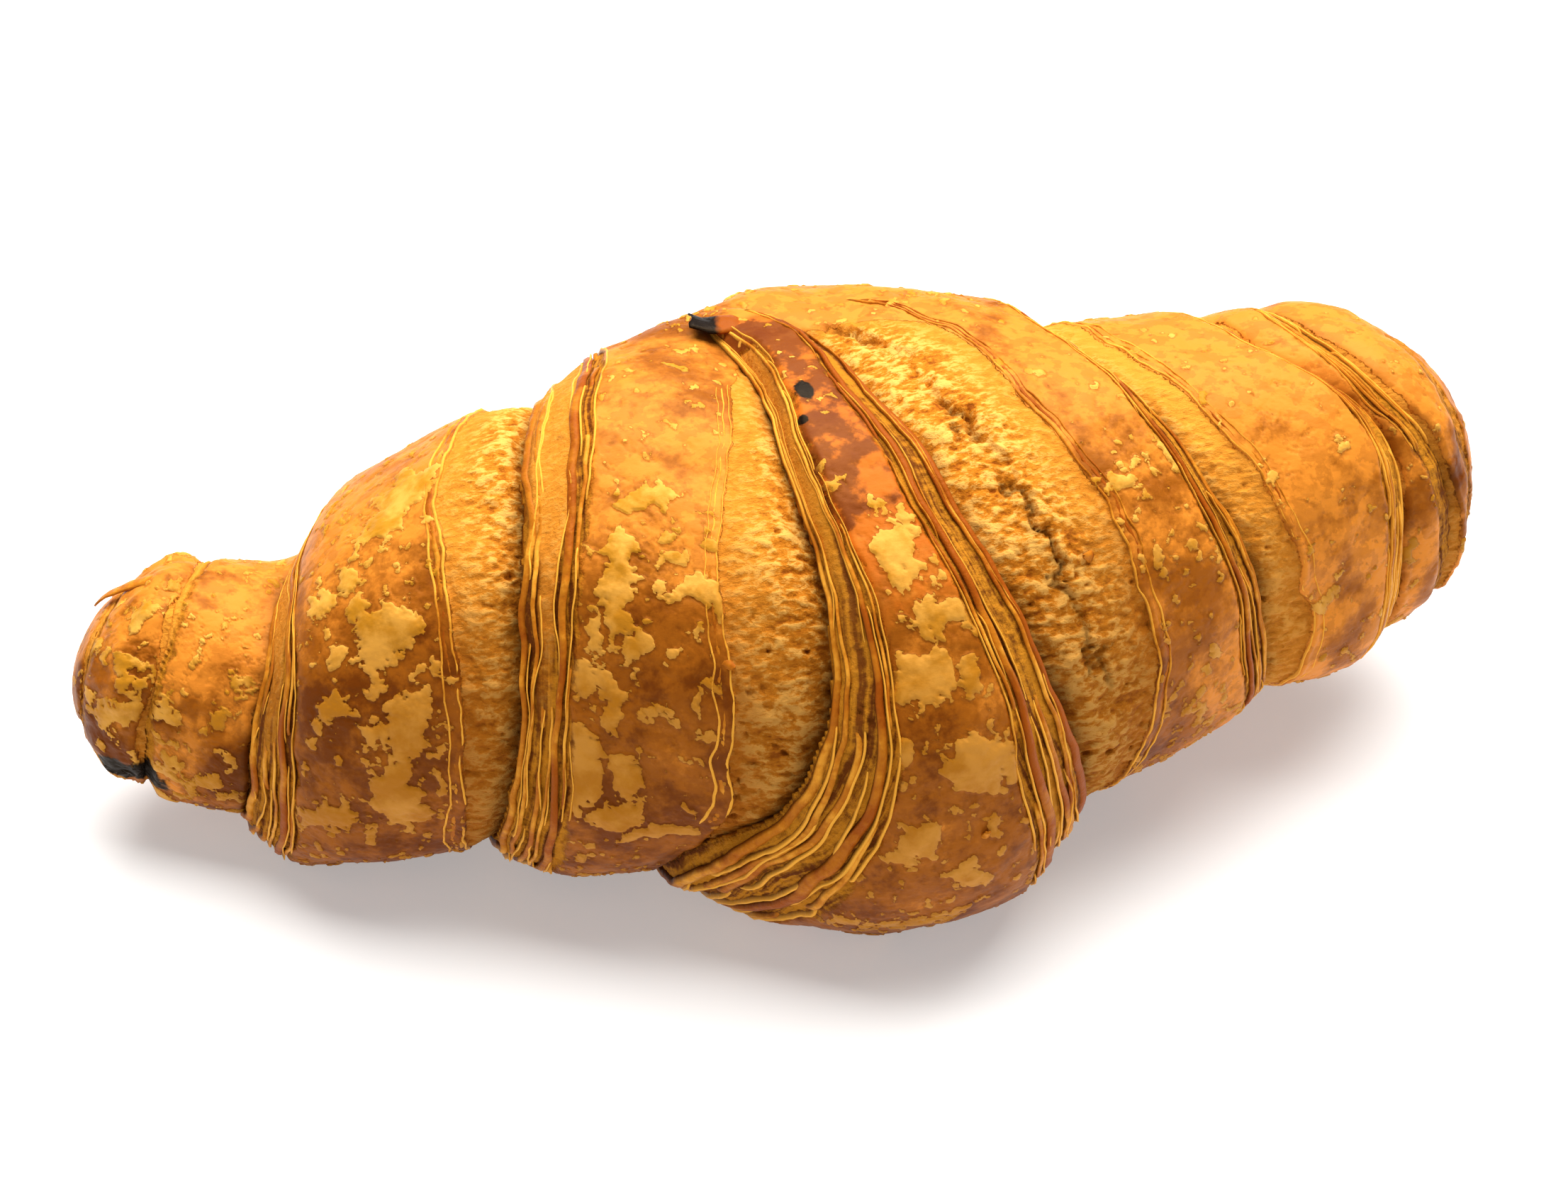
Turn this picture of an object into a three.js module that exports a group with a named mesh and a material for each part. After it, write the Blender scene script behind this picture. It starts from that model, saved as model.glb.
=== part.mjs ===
// A butter croissant: one triangle of laminated dough, rolled up from its base to its point and
// baked as one piece, so the whole of it is a single closed solid.
//
// Millimetres, +Z up. The roll runs along X, its belly swells towards -Y and both horns sweep back
// towards +Y. The origin is under the middle of the croissant's box, on the surface it lies on.
//
// Two numbers place a point on the crust: "along" runs from about -1 at the left horn's end to
// about +1 at the right one's, and "turn" is the angle round the roll in degrees, 0 at the belly (-Y), 90 on top,
// 180 at the back and -90 underneath.
import * as THREE from 'three';
import { mergeVertices } from 'three/addons/utils/BufferGeometryUtils.js';

// ---- Driving dimensions ----

const HALF_SPAN = 75.5; // length along X of one unit of "along"
const LEFT_END = -0.972; // "along" of the two horns' ends
const RIGHT_END = 1.012;
const SWEEP = 16.5; // how far back the horns sweep for each squared unit of "along"
const BELLY_AT = 0.12; // the "along" of the point that bulges furthest forward
const SQUARENESS = 2.2; // exponent of the cross-section: 2 is an ellipse, more is boxier
const WAIST = 0.42; // height of the widest point, as a share of the section's height
const BASE_PRESS = 1.12; // how far past the underside the round section would reach: it is pressed flat
const END_ROUNDING = 11; // exponent that closes the horns: the higher, the blunter they are

const ROWS_ALONG = 92;
const FACES_ROUND = 44;

// The smooth roll under the steps: along, half width, top, underside.
const SECTIONS = [
  [-1.0, 12.0, 26.2, 8.6],
  [-0.86, 11.4, 27.2, 6.2],
  [-0.78, 12.4, 28.0, 4.2],
  [-0.7, 15.2, 31.2, 2.4],
  [-0.62, 19.2, 38.6, 2.0],
  [-0.5, 21.8, 44.4, 3.2],
  [-0.35, 24.6, 48.4, 3.4],
  [-0.18, 29.6, 51.2, 2.6],
  [-0.08, 33.0, 52.2, 1.0],
  [0.0, 36.2, 52.8, 0.0],
  [0.15, 36.4, 52.8, 0.0],
  [0.27, 31.8, 51.6, 2.4],
  [0.4, 26.4, 50.0, 6.8],
  [0.62, 21.4, 47.4, 9.6],
  [0.78, 19.6, 46.4, 9.4],
  [0.92, 18.8, 46.6, 9.4],
  [1.0, 17.8, 45.4, 10.0],
];

// The dough's two cut edges, followed round the roll from the horns to the triangle's point: the
// turn, which falls by 360 with every lap below the outermost, and the "along" there.
const POINT_TURN = 123; // where the triangle's point ends, just behind the top
const LEFT_EDGE = [
  [-1620, -0.97], [-1400, -0.93], [-1260, -0.89], [-1100, -0.85], [-1035, -0.825], [-960, -0.81],
  [-900, -0.79], [-810, -0.76], [-761, -0.733], [-704, -0.705], [-672, -0.693], [-630, -0.69],
  [-600, -0.665], [-540, -0.55], [-450, -0.44], [-384, -0.398], [-355, -0.374], [-317, -0.363],
  [-273, -0.358], [-240, -0.335], [-180, -0.3], [-120, -0.26], [-60, -0.215], [-21, -0.165],
  [0, -0.078], [15, -0.044], [48, -0.028], [70, -0.045], [86, -0.06], [106, -0.095], [123, -0.125],
];
const RIGHT_EDGE = [
  [-1620, 0.95], [-1400, 0.92], [-1170, 0.885], [-1060, 0.86], [-1039, 0.83], [-1022, 0.8],
  [-960, 0.775], [-810, 0.772], [-707, 0.784], [-675, 0.774], [-660, 0.75], [-639, 0.7],
  [-600, 0.655], [-540, 0.62], [-420, 0.575], [-360, 0.55], [-343, 0.535], [-319, 0.497],
  [-281, 0.45], [-260, 0.415], [-240, 0.395], [-180, 0.36], [-120, 0.32], [-60, 0.285],
  [-5, 0.262], [20, 0.216], [55, 0.15], [75, 0.112], [87, 0.078], [101, 0.036], [123, -0.105],
];
const LAPS = 4; // laps of each edge that show between the middle and a horn

// How far each lap stands above the one below it, by the turn of its edge.
const STEP_HEIGHTS = [
  [-1620, 0.6], [-1040, 1.2], [-700, 2.8], [-500, 2.4], [-300, 2.8], [60, 3.0], [123, 2.0],
];
const CROWN = 0.8; // how far a lap's crust swells between its two edges
const LIP = 3.0; // length over which an edge rises from the lap below
const POINT_TAPER = 24; // degrees over which the last lap thins towards the point

// The burnt point of the triangle, curled up from the crust.
const POINT_ALONG = -0.118;
const POINT_CURL = 1.4; // height above the crust
const POINT_SPREAD = 3.4; // radius

// ---- The shape ----

const radians = THREE.MathUtils.degToRad;

/** A smooth curve through [x, y, ...] points: each slope is the mean of those on its two sides. */
function curveThrough(points, column = 1) {
  const x = points.map((p) => p[0]);
  const y = points.map((p) => p[column]);
  const slope = x.slice(1).map((next, i) => (y[i + 1] - y[i]) / (next - x[i]));
  const lean = x.map((_, i) => ((slope[i - 1] ?? slope[i]) + (slope[i] ?? slope[i - 1])) / 2);
  return (at) => {
    const inside = THREE.MathUtils.clamp(at, x[0], x[x.length - 1]);
    let i = 0;
    while (i < x.length - 2 && inside > x[i + 1]) i += 1;
    const width = x[i + 1] - x[i];
    const s = (inside - x[i]) / width;
    const rest = 1 - s;
    return (
      y[i] * rest * rest * (1 + 2 * s) +
      y[i + 1] * s * s * (3 - 2 * s) +
      width * s * rest * (lean[i] * rest - lean[i + 1] * s)
    );
  };
}

const halfWidth = curveThrough(SECTIONS, 1);
const topHeight = curveThrough(SECTIONS, 2);
const underside = curveThrough(SECTIONS, 3);
const leftEdge = curveThrough(LEFT_EDGE);
const rightEdge = curveThrough(RIGHT_EDGE);
const stepHeight = curveThrough(STEP_HEIGHTS);

/** A power that keeps its base's sign. */
function signedPower(base, exponent) {
  return Math.sign(base) * Math.abs(base) ** exponent;
}

/** The point on the smooth roll, raised off it by `lift` mm. */
function rollPoint(along, turn, lift) {
  const share = along < 0 ? along / LEFT_END : along / RIGHT_END;
  const closing = Math.sqrt(Math.max(0, 1 - share ** END_ROUNDING));
  const low = underside(along);
  const high = topHeight(along);
  const waist = low + (high - low) * WAIST;
  const reach = signedPower(Math.cos(radians(turn)), 2 / SQUARENESS);
  const rise = signedPower(Math.sin(radians(turn)), 2 / SQUARENESS);
  const out = closing * (halfWidth(along) + lift) * reach;
  const depth = rise > 0 ? high - waist + lift : (waist - low + lift) * BASE_PRESS;
  const height = Math.max(waist + closing * depth * rise, waist - closing * (waist - low));
  const heading = Math.atan2(2 * SWEEP * (along - BELLY_AT), HALF_SPAN);
  return new THREE.Vector3(
    HALF_SPAN * along + Math.sin(heading) * out,
    SWEEP * (along - BELLY_AT) ** 2 - Math.cos(heading) * out,
    Math.max(height, 0),
  );
}

/** The crust's lift at a point where `outermost` is the number of the lap on top. */
function liftBelow(along, turn, outermost) {
  const edge = along < BELLY_AT / 2 ? leftEdge : rightEdge;
  const inward = along < BELLY_AT / 2 ? 1 : -1;
  for (let lap = outermost; lap <= LAPS; lap += 1) {
    const own = edge(turn - 360 * lap);
    const fromEdge = (along - own) * inward * HALF_SPAN;
    if (fromEdge < 0) continue;
    const ownStep = stepHeight(turn - 360 * lap);
    const lip = THREE.MathUtils.smoothstep(fromEdge, 0, LIP);
    if (lap === outermost) return (lip - 0.5) * ownStep;
    const toNext = (edge(turn - 360 * (lap - 1)) - along) * inward * HALF_SPAN;
    const across = fromEdge / (fromEdge + toNext);
    const nextStep = stepHeight(turn - 360 * (lap - 1));
    const crown = CROWN * Math.sin(Math.PI * across);
    return (lip - 0.5) * ownStep * (1 - across) - 0.5 * nextStep * across + crown;
  }
  return 0;
}

/** The crust's lift at a point: the last lap ends at the triangle's point and thins towards it. */
function crustLift(along, turn) {
  const past = THREE.MathUtils.smoothstep(turn, POINT_TURN - POINT_TAPER, POINT_TURN);
  const withPoint = past < 1 ? liftBelow(along, turn, 0) : 0;
  const withoutPoint = past > 0 ? liftBelow(along, turn, 1) : 0;
  return THREE.MathUtils.lerp(withPoint, withoutPoint, past);
}

/** The curl of the triangle's burnt point, a small bump on the crust. */
function pointLift(along, turn) {
  const roundward = radians(turn - POINT_TURN) * halfWidth(POINT_ALONG);
  const distance = Math.hypot((along - POINT_ALONG) * HALF_SPAN, roundward);
  return POINT_CURL * (1 - THREE.MathUtils.smoothstep(distance, 0, POINT_SPREAD * 2));
}

/** The whole croissant as one closed mesh: a ball whose poles are the horns, pulled into shape. */
function croissantGeometry() {
  const ball = new THREE.SphereGeometry(1, FACES_ROUND, ROWS_ALONG);
  ball.rotateZ(-Math.PI / 2);
  ball.deleteAttribute('normal');
  ball.deleteAttribute('uv');
  const closed = mergeVertices(ball, 1e-4);
  const place = closed.getAttribute('position');
  const vertex = new THREE.Vector3();
  for (let i = 0; i < place.count; i += 1) {
    vertex.fromBufferAttribute(place, i);
    const polar = Math.acos(THREE.MathUtils.clamp(vertex.x, -1, 1));
    const even = 1 - (2 * polar) / Math.PI;
    const share = THREE.MathUtils.clamp((even + vertex.x) / 2, -1, 1);
    const along = share < 0 ? -share * LEFT_END : share * RIGHT_END;
    const angle = THREE.MathUtils.radToDeg(Math.atan2(vertex.z, -vertex.y));
    const turn = angle < -90 ? angle + 360 : angle;
    const lift = crustLift(along, turn) + pointLift(along, turn);
    place.setXYZ(i, ...rollPoint(along, turn, lift).toArray());
  }
  closed.computeBoundingBox();
  const middle = closed.boundingBox.getCenter(new THREE.Vector3());
  closed.translate(-middle.x, -middle.y, -closed.boundingBox.min.z);
  closed.computeVertexNormals();
  return closed;
}

// ---- The part ----

const crust = new THREE.MeshStandardMaterial({ color: '#c9812f', roughness: 0.55, metalness: 0 });
const croissant = new THREE.Mesh(croissantGeometry(), crust);
croissant.name = 'croissant';

const part = new THREE.Group();
part.add(croissant);

export default part;
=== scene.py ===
import logging
import math
from dataclasses import dataclass
from enum import Enum
from functools import partial
from itertools import product

import bmesh
import bpy
import numpy as np
from mathutils import Matrix, Vector


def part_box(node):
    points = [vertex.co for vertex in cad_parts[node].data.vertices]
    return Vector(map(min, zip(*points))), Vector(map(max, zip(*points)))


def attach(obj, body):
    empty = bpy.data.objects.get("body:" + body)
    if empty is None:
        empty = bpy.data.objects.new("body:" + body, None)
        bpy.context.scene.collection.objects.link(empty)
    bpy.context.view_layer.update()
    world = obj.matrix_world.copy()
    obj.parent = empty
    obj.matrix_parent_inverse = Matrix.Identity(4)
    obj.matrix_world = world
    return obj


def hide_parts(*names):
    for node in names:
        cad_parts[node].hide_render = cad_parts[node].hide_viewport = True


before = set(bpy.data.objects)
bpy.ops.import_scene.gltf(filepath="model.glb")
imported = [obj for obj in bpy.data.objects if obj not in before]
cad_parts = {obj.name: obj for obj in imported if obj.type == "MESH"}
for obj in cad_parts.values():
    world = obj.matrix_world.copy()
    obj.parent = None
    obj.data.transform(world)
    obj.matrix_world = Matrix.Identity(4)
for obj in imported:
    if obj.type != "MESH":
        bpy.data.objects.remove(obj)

LOG = logging.getLogger("croissant")
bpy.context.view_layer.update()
NODE = "croissant"
BODY = "root"
MM = 0.001  # metres in a millimetre
FAR = 30.0  # mm, further than anything reaches across a lap


# ---------------------------------------------------------------------------------------------
# Curves and grain
# ---------------------------------------------------------------------------------------------


class Curve:
    """A smooth curve through points, each slope being the mean of those on its two sides."""

    def __init__(self, points: list[tuple[float, float]]) -> None:
        """Keeps the points and works out the slope at each.

        Args:
            points: (place, value) pairs in rising order of place.
        """
        self.place = np.array([p[0] for p in points], dtype=float)
        self.value = np.array([p[1] for p in points], dtype=float)
        rise = np.diff(self.value) / np.diff(self.place)
        self.lean = (np.concatenate([rise[:1], rise]) + np.concatenate([rise, rise[-1:]])) / 2

    def __call__(self, at: np.ndarray) -> np.ndarray:
        """Reads the curve.

        Args:
            at: places to read it at; past either end it keeps the end's value.

        Returns:
            The values there.
        """
        inside = np.clip(at, self.place[0], self.place[-1])
        i = np.clip(np.searchsorted(self.place, inside, side="right") - 1, 0, len(self.place) - 2)
        width = self.place[i + 1] - self.place[i]
        s = (inside - self.place[i]) / width
        rest = 1 - s
        return (
            self.value[i] * rest * rest * (1 + 2 * s)
            + self.value[i + 1] * s * s * (3 - 2 * s)
            + width * s * rest * (self.lean[i] * rest - self.lean[i + 1] * s)
        )


def smoothstep(x: np.ndarray, low: float | np.ndarray, high: float | np.ndarray) -> np.ndarray:
    """Rises smoothly from 0 at low to 1 at high."""
    s = np.clip((x - low) / (high - low), 0, 1)
    return s * s * (3 - 2 * s)


def hump(x: np.ndarray, width: float | np.ndarray) -> np.ndarray:
    """A bell that is 1 where x is 0 and falls to about a third at x = width."""
    return np.exp(-((x / width) ** 2))


def one_lap(run: np.ndarray) -> np.ndarray:
    """Brings turns that count laps back to one lap, -90 to 270 degrees."""
    return (run + 90) % 360 - 90


def drawn_out(points: np.ndarray, share: float) -> np.ndarray:
    """Squeezes places along the roll, so that noise read at them is drawn out along it."""
    return points * np.array([share, 1.0, 1.0])


class Grain:
    """Seeded solid noise, for everything in the dough that is irregular."""

    SIZE = 256
    APART = 17.3  # mm between the patterns of two sizes, so that they don't line up

    def __init__(self, seed: int) -> None:
        """Shuffles the lattice.

        Args:
            seed: picks the pattern, which is the same on every run.
        """
        draw = np.random.default_rng(seed)
        order = draw.permutation(self.SIZE)
        self.order = np.concatenate([order, order, order])
        lean = draw.normal(size=(self.SIZE, 3))
        self.lean = lean / np.linalg.norm(lean, axis=1, keepdims=True)
        self.spot = draw.random((self.SIZE, 3))

    def _corner(self, x: np.ndarray, y: np.ndarray, z: np.ndarray) -> np.ndarray:
        """The lattice number of a corner."""
        mask = self.SIZE - 1
        return self.order[self.order[self.order[x & mask] + (y & mask)] + (z & mask)]

    def smooth(self, points: np.ndarray, size: float) -> np.ndarray:
        """Gradient noise.

        Args:
            points: n by 3 places, mm.
            size: the width of one bump, mm.

        Returns:
            n values, mostly between -0.6 and 0.6.
        """
        place = points / size
        cell = np.floor(place).astype(np.int64)
        part = place - cell
        ease = part * part * part * (part * (part * 6 - 15) + 10)
        shares = (1 - ease, ease)
        total = np.zeros(len(points))
        for step in product((0, 1), repeat=3):
            weight = math.prod(shares[s][:, i] for i, s in enumerate(step))
            corner = self._corner(*(cell + step).T)
            total += weight * np.einsum("ij,ij->i", self.lean[corner], part - step)
        return total

    def rough(self, points: np.ndarray, size: float, layers: int, fade: float = 0.5) -> np.ndarray:
        """Several sizes of smooth noise laid over each other.

        Args:
            points: n by 3 places, mm.
            size: the widest bumps, mm.
            layers: how many sizes, each half the last.
            fade: how strong each size is next to the last.

        Returns:
            n values, mostly between -0.8 and 0.8.
        """
        total = np.zeros(len(points))
        strength = 1.0
        for layer in range(layers):
            total += strength * self.smooth(points + self.APART * layer, size / 2**layer)
            strength *= fade
        return total

    def cells(self, points: np.ndarray, size: float) -> np.ndarray:
        """Cellular noise, for pores.

        Args:
            points: n by 3 places, mm.
            size: the width of one cell, mm.

        Returns:
            n distances to the nearest cell's centre, in cell widths.
        """
        place = points / size
        cell = np.floor(place).astype(np.int64)
        near = np.full(len(points), np.inf)
        for step in product((-1, 0, 1), repeat=3):
            other = cell + step
            gap = np.linalg.norm(other + self.spot[self._corner(*other.T)] - place, axis=1)
            near = np.minimum(near, gap)
        return near


# ---------------------------------------------------------------------------------------------
# The roll
# ---------------------------------------------------------------------------------------------


@dataclass
class Patch:
    """What the dough is like at many places at once; each field has one value per place.

    Lengths are in mm. A distance is above 0 inside what it names and below 0 outside it.
    """

    lift: np.ndarray  # how far the crust stands off the smooth roll
    slide: np.ndarray  # how far it is pushed along the roll, towards +X
    across: np.ndarray  # distance from the lap's own cut edge
    stripe: np.ndarray  # distance into the band of cut layers
    crumb: np.ndarray  # distance into the torn crumb below the next lap's edge
    fold: np.ndarray  # the same as a share of the crumb's width
    wide: np.ndarray  # 1 where the crumb is wide enough to have split again
    crease: np.ndarray  # 1 in the crease under the next lap's edge, 0 away from it
    lap: np.ndarray  # the number of the lap, 0 for the outermost

    def mixed(self, other: "Patch", share: np.ndarray) -> "Patch":
        """Blends two descriptions of the same places.

        Args:
            other: the second description.
            share: how much of it is taken, 0 to 1.

        Returns:
            The blend.
        """
        pairs = ((getattr(self, name), getattr(other, name)) for name in self.__dataclass_fields__)
        return Patch(*(a * (1 - share) + b * share for a, b in pairs))


@dataclass(frozen=True)
class CutEdge:
    """One cut edge of the dough triangle, followed round the roll.

    Every curve is read at a turn, which falls by 360 with each lap below the outermost.
    """

    along: Curve  # where the edge lies on the roll
    stripes: Curve  # width of the band of cut layers behind it, mm
    crumb: Curve  # width of the crumb that has torn open below it, mm
    crease: Curve  # depth of the crease at its foot, mm


@dataclass
class Roll:
    """The rolled-up dough as a surface: "along" runs from horn to horn, "turn" goes round.

    "Turn" is in degrees: 0 at the belly (-Y), 90 on top, 180 at the back, -90 underneath.
    """

    half_span: float = 75.5  # mm from the middle to where "along" is 1
    left_end: float = -0.972  # where "along" is at the end of each horn
    right_end: float = 1.012
    sweep: float = 16.5  # mm that the horns are swept back
    belly_at: float = 0.12  # where the roll comes furthest forward
    squareness: float = 2.2  # 2 makes each section an ellipse, and more squares it up
    waist: float = 0.42  # how high a section is widest, as a share of its height
    base_press: float = 1.12  # how far the dough would sag through the tray that flattens it
    left_rounding: float = 16.0  # the higher, the more bluntly a horn closes
    right_rounding: float = 11.0
    point_turn: float = 123.0  # where the dough triangle's point ends, just past the top
    point_taper: float = 24.0  # degrees over which the point thins away
    laps: int = 4  # how many laps with an edge of their own lie below the outermost
    crown: float = 0.8  # mm that a lap bulges between its own edge and the next
    lip: float = 1.1  # mm over which a lap rises sharply at its edge
    overhang: float = 0.5  # mm that the edge leans out over the crumb
    crease_width: float = 1.5  # mm from the foot of an edge to where its crease has run out
    radius_share: float = 0.95  # the mean radius as a share of the half width
    half_width: Curve = Curve([
        (-1.0, 12.0), (-0.86, 11.4), (-0.78, 12.4), (-0.7, 15.2), (-0.62, 19.2), (-0.5, 21.8),
        (-0.35, 24.6), (-0.18, 29.6), (-0.08, 33.0), (0.0, 36.2), (0.15, 36.4), (0.27, 31.8), (0.4, 26.4),
        (0.62, 21.4), (0.78, 19.6), (0.92, 18.8), (1.0, 17.8),
    ])
    top: Curve = Curve([
        (-1.0, 26.8), (-0.9, 28.0), (-0.84, 29.4), (-0.76, 28.6), (-0.7, 29.6), (-0.62, 37.4),
        (-0.5, 44.4), (-0.35, 48.4), (-0.18, 51.2), (-0.08, 52.2), (0.0, 52.8), (0.15, 52.8), (0.27, 51.6),
        (0.4, 50.0), (0.62, 47.4), (0.78, 46.4), (0.92, 46.6), (1.0, 45.4),
    ])
    underside: Curve = Curve([
        (-1.0, 8.6), (-0.86, 6.2), (-0.78, 4.2), (-0.7, 2.4), (-0.62, 2.0), (-0.5, 3.2), (-0.35, 3.4),
        (-0.18, 2.6), (-0.08, 1.0), (0.0, 0.0), (0.15, 0.0), (0.27, 2.4), (0.4, 6.8), (0.62, 9.6),
        (0.78, 9.4), (0.92, 9.4), (1.0, 10.0),
    ])
    # How thick the edge of a lap is, mm, by a turn that falls by 360 with each lap.
    step: Curve = Curve([
        (-1620, 0.4), (-1040, 0.6), (-900, 1.2), (-700, 2.8), (-500, 2.4), (-300, 2.8), (60, 3.0),
        (123, 2.0),
    ])
    left: CutEdge = CutEdge(
        along=Curve([
            (-1620, -0.97), (-1400, -0.93), (-1260, -0.89), (-1100, -0.85), (-1035, -0.825), (-960, -0.81),
            (-900, -0.79), (-810, -0.76), (-761, -0.733), (-704, -0.705), (-672, -0.693), (-630, -0.69),
            (-600, -0.665), (-540, -0.55), (-450, -0.44), (-384, -0.398), (-355, -0.374), (-317, -0.363),
            (-273, -0.358), (-240, -0.335), (-180, -0.3), (-120, -0.26), (-60, -0.215), (-21, -0.165),
            (0, -0.078), (15, -0.04), (40, -0.022), (55, -0.026), (70, -0.034), (86, -0.036),
            (100, -0.052), (112, -0.085), (123, -0.12),
        ]),
        stripes=Curve([
            (-1620, 0.8), (-1040, 1.0), (-900, 1.6), (-800, 3.4), (-737, 5.6), (-700, 4.6), (-660, 3.4),
            (-600, 2.0), (-450, 3.6), (-379, 5.0), (-345, 3.8), (-300, 5.8), (-250, 7.2), (-200, 5.0),
            (-120, 4.4), (-60, 6.6), (-21, 9.6), (0, 6.4), (20, 4.6), (40, 3.2), (62, 1.9), (100, 1.5),
            (123, 1.2),
        ]),
        crumb=Curve([
            (-1620, 0.5), (-1000, 0.6), (-760, 0.9), (-640, 0.9), (-560, 3.0), (-420, 2.8), (-358, 4.5),
            (-315, 6.4), (-262, 8.0), (-200, 5.0), (-120, 4.0), (-60, 2.2), (-21, 0.6), (-6, 3.5),
            (11, 7.4), (48, 8.4), (72, 5.4), (89, 3.6), (105, 0.6), (123, 0.3),
        ]),
        crease=Curve([
            (-1620, 0.1), (-1000, 0.1), (-760, 1.0), (-640, 1.2), (-500, 1.0), (-384, 1.6), (-350, 2.4),
            (-290, 2.6), (-250, 1.6), (-120, 1.0), (-21, 0.6), (5, 1.4), (28, 3.4), (50, 3.4), (75, 1.6),
            (123, 0.5),
        ]),
    )
    right: CutEdge = CutEdge(
        along=Curve([
            (-1620, 0.95), (-1400, 0.92), (-1170, 0.885), (-1060, 0.86), (-1039, 0.83), (-1022, 0.8),
            (-960, 0.775), (-810, 0.772), (-707, 0.784), (-675, 0.774), (-660, 0.75), (-639, 0.7),
            (-600, 0.655), (-540, 0.62), (-420, 0.575), (-360, 0.55), (-343, 0.535), (-319, 0.497),
            (-281, 0.45), (-260, 0.415), (-240, 0.395), (-180, 0.36), (-120, 0.32), (-60, 0.285),
            (-5, 0.262), (20, 0.216), (55, 0.15), (70, 0.124), (82, 0.1), (94, 0.08), (104, 0.054),
            (114, -0.01), (123, -0.1),
        ]),
        stripes=Curve([
            (-1620, 1.4), (-1060, 2.2), (-1000, 2.4), (-700, 3.2), (-639, 2.4), (-500, 2.4), (-345, 3.6),
            (-281, 2.8), (-200, 3.0), (-90, 4.0), (-28, 5.6), (0, 6.4), (20, 4.8), (50, 4.4), (74, 4.6),
            (92, 3.4), (123, 1.0),
        ]),
        crumb=Curve([
            (-1620, 0.8), (-1060, 1.2), (-760, 1.0), (-640, 0.9), (-560, 3.0), (-420, 4.0), (-360, 4.8),
            (-310, 5.4), (-275, 5.0), (-240, 5.4), (-180, 4.4), (-90, 4.0), (-30, 5.4), (2, 8.2),
            (14, 10.2), (37, 12.4), (70, 13.0), (103, 11.6), (123, 8.0),
        ]),
        crease=Curve([
            (-1620, 0.3), (-1000, 0.4), (-640, 0.5), (-345, 0.6), (-250, 0.8), (-90, 0.9), (0, 1.8),
            (40, 1.4), (80, 0.9), (123, 0.4),
        ]),
    )

    def radius(self, along: np.ndarray) -> np.ndarray:
        """The roll's mean radius, mm, for measuring round it."""
        return self.half_width(along) * self.radius_share

    def point(self, along: np.ndarray, turn: np.ndarray, lift: np.ndarray) -> np.ndarray:
        """Places points on the roll, or off it.

        Args:
            along: from the left horn to the right.
            turn: degrees round the roll.
            lift: mm off the smooth roll.

        Returns:
            n by 3 places, mm, before the roll is put under the CAD model's box.
        """
        share = np.where(along < 0, along / self.left_end, along / self.right_end)
        rounding = np.where(along < 0, self.left_rounding, self.right_rounding)
        closing = np.sqrt(np.clip(1 - np.clip(share, 0, 1) ** rounding, 0, 1))
        low, high = self.underside(along), self.top(along)
        middle = low + (high - low) * self.waist
        angle = np.radians(turn)
        bulge = 2 / self.squareness
        reach = np.sign(np.cos(angle)) * np.abs(np.cos(angle)) ** bulge
        rise = np.sign(np.sin(angle)) * np.abs(np.sin(angle)) ** bulge
        out = closing * (self.half_width(along) + lift) * reach
        depth = np.where(rise > 0, high - middle + lift, (middle - low + lift) * self.base_press)
        height = np.maximum(middle + closing * depth * rise, middle - closing * (middle - low))
        heading = np.arctan2(2 * self.sweep * (along - self.belly_at), self.half_span)
        return np.stack(
            [
                self.half_span * along + np.sin(heading) * out,
                self.sweep * (along - self.belly_at) ** 2 - np.cos(heading) * out,
                np.maximum(height, 0),
            ],
            axis=-1,
        )

    def _below(self, along: np.ndarray, turn: np.ndarray, outermost: int) -> Patch:
        """Describes the dough below a given lap.

        Args:
            along: from the left horn to the right.
            turn: degrees round the roll.
            outermost: the number of the lap that is on top.

        Returns:
            What the dough is like there.
        """
        half = self.half_span
        own = turn - 360 * outermost
        middle = (self.left.along(own) + self.right.along(own)) / 2
        on_left = along < middle
        out = [np.zeros_like(along) for _ in Patch.__dataclass_fields__]
        lift, slide, across, stripe, crumb, fold, wide, crease, lap_number = out
        across += FAR
        stripe -= FAR
        crumb -= FAR
        waiting = np.ones(along.shape, dtype=bool)
        for edge, side, inward in ((self.left, on_left, 1.0), (self.right, ~on_left, -1.0)):
            for lap in range(outermost, self.laps + 2):
                own_turn, next_turn = turn - 360 * lap, turn - 360 * (lap - 1)
                if lap <= self.laps:
                    from_edge = (along - edge.along(own_turn)) * inward * half
                else:
                    from_edge = np.full_like(along, FAR)
                here = waiting & side & (from_edge >= 0)
                waiting &= ~here
                band = edge.stripes(own_turn)
                own_step = self.step(own_turn) if lap <= self.laps else np.zeros_like(along)
                sharp = smoothstep(from_edge, 0, self.lip)
                gentle = smoothstep(from_edge, 0, band + 0.6)
                rise = 0.5 * sharp + 0.5 * gentle - 0.5
                overhang = self.overhang * hump(from_edge, 1.4)
                if lap == outermost:
                    value_lift = rise * own_step
                    value_slide = -inward * overhang
                    value_crumb = np.full_like(along, -FAR)
                    value_crease = value_fold = value_wide = np.zeros_like(along)
                else:
                    to_next = (edge.along(next_turn) - along) * inward * half
                    part = np.clip(from_edge / (from_edge + to_next), 0, 1)
                    depth = edge.crease(next_turn)
                    value_crease = hump(to_next, self.crease_width)
                    value_lift = (
                        rise * own_step * (1 - part)
                        - 0.5 * self.step(next_turn) * part
                        + self.crown * np.sin(np.pi * part)
                        - depth * value_crease
                    )
                    value_slide = inward * (0.45 * depth * value_crease - overhang)
                    width = edge.crumb(next_turn)
                    value_crumb = width - to_next
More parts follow.
